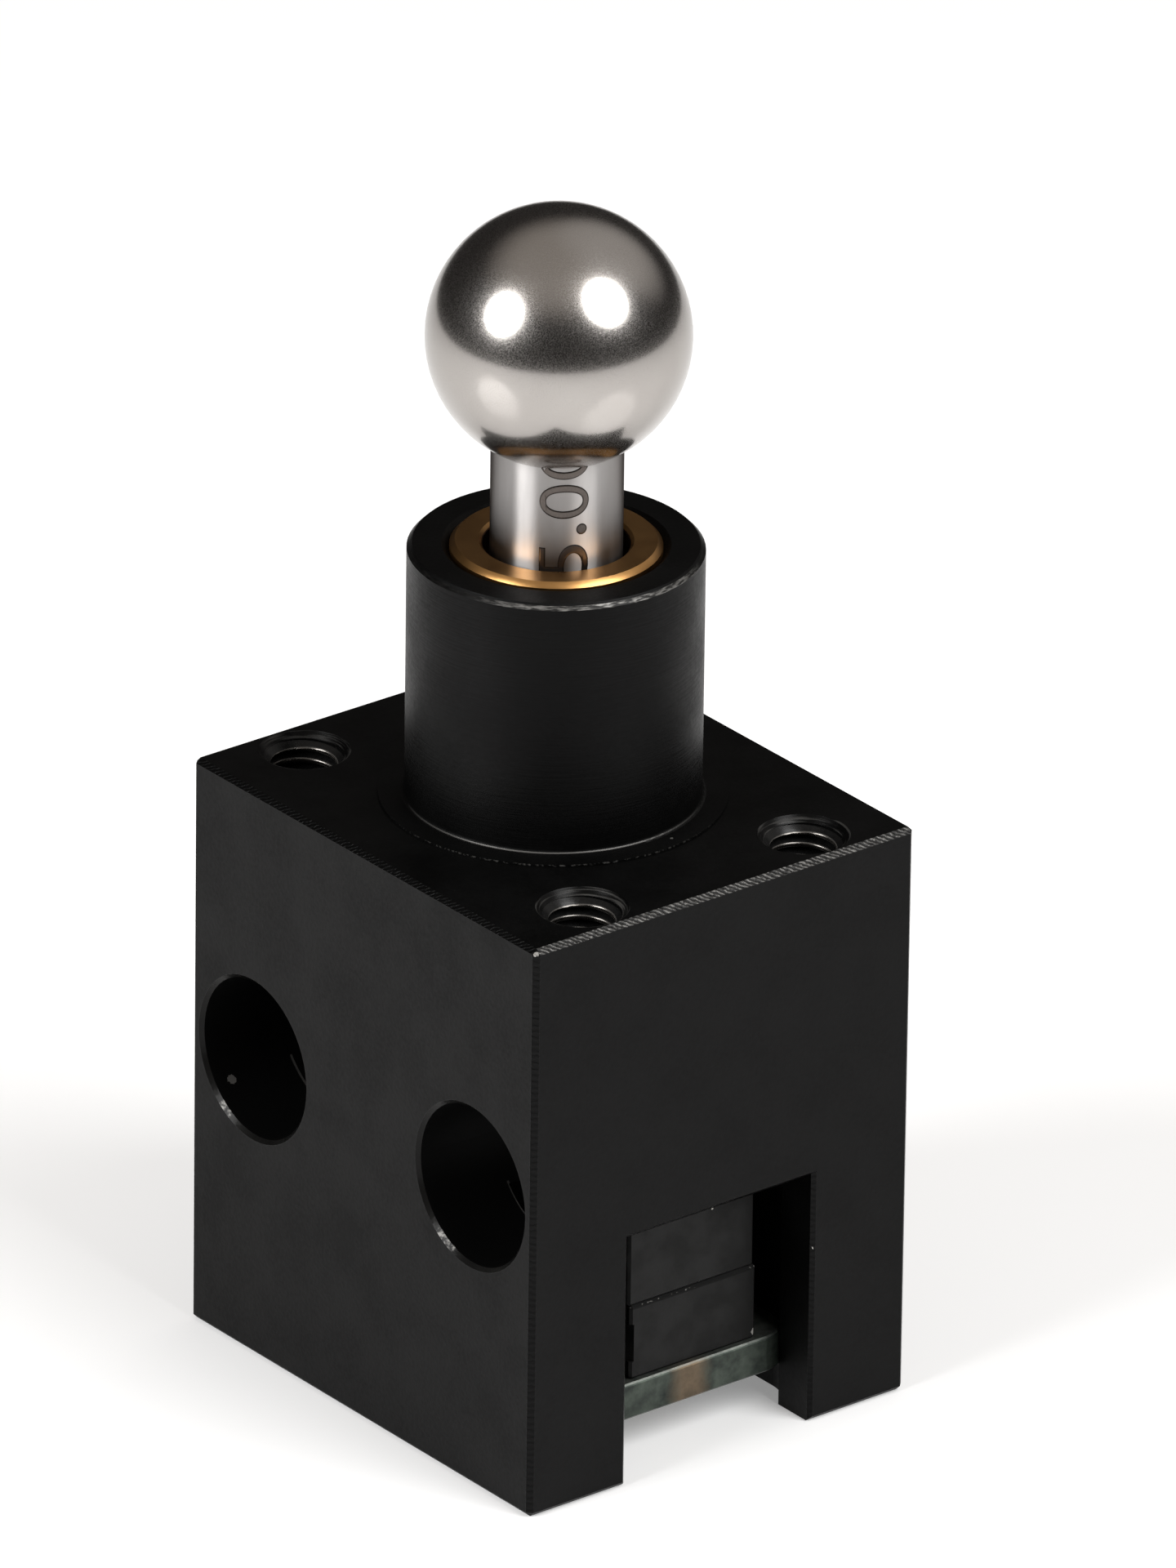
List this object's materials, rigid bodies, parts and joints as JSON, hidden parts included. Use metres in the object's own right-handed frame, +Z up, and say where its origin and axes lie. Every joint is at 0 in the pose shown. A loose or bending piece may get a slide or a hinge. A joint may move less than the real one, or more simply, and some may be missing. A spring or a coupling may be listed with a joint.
{
  "type": "nozzle calibration tool",
  "caption": "Black metal block with a bushed boss that guides a ground gauge pin with a ball head; the pin lifts out and is held down by magnets.",
  "frame": {"origin": "centre of the block's base, below the axis of the gauge pin", "axes": "+Z up along the gauge pin towards the ball, +X across the slotted end faces and along the two rod bores, +Y along the slot"},
  "size_m": [0.018, 0.021, 0.0474],
  "materials": {
    "black_anodised_aluminium": "fine bead blasted and black anodised, satin",
    "bronze": "turned bearing bronze, bright chamfers",
    "ground_steel": "centreless ground, dark laser marked number",
    "polished_steel": "satin polished hardened steel",
    "zinc_plated_steel": "zinc plated, dull and mottled with a brown patch",
    "coated_magnet": "black epoxy coat, chipped at the edges"
  },
  "bodies": {
    "housing": {"block": "black_anodised_aluminium", "guide_bush": "bronze", "keeper_plate": "zinc_plated_steel", "magnet_lower": "coated_magnet", "magnet_upper": "coated_magnet"},
    "pin": {"gauge_pin": "ground_steel", "head_ball": "polished_steel"}
  },
  "joints": [
    {"name": "pin_lift", "type": "slide", "parent": "housing", "child": "pin", "axis": [0, 0, 1], "range_m": [0, 0.026]}
  ]
}
